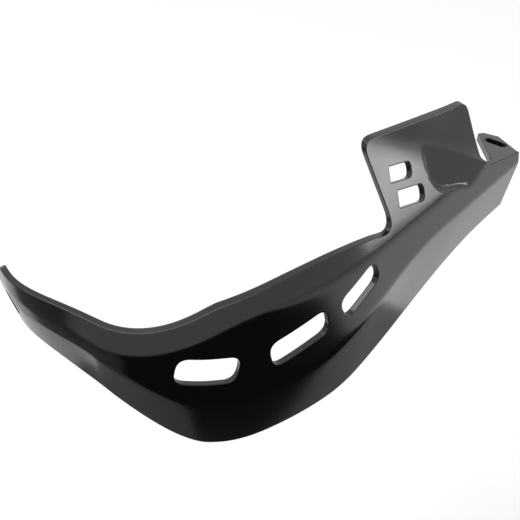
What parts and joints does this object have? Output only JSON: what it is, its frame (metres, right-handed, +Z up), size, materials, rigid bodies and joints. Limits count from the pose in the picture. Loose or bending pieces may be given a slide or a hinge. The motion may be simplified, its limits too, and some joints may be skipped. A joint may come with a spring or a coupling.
{
  "type": "motorcycle hand guard",
  "caption": "Moulded plastic motorcycle hand guard: curved shell with a lower band, vent slots, a raised wing with a round hollow, a bar-end hole and a slotted clamp tab.",
  "frame": {"origin": "centre of the bar-end hole, in the middle of its wall", "axes": "+X along the handlebar from its end towards the middle of the bike, -Y forward, +Z up"},
  "size_m": [0.2903, 0.1204, 0.1355],
  "materials": {
    "moulded_plastic": "black gloss, as moulded"
  },
  "bodies": {
    "root": {"hand_guard": "moulded_plastic"}
  },
  "joints": []
}
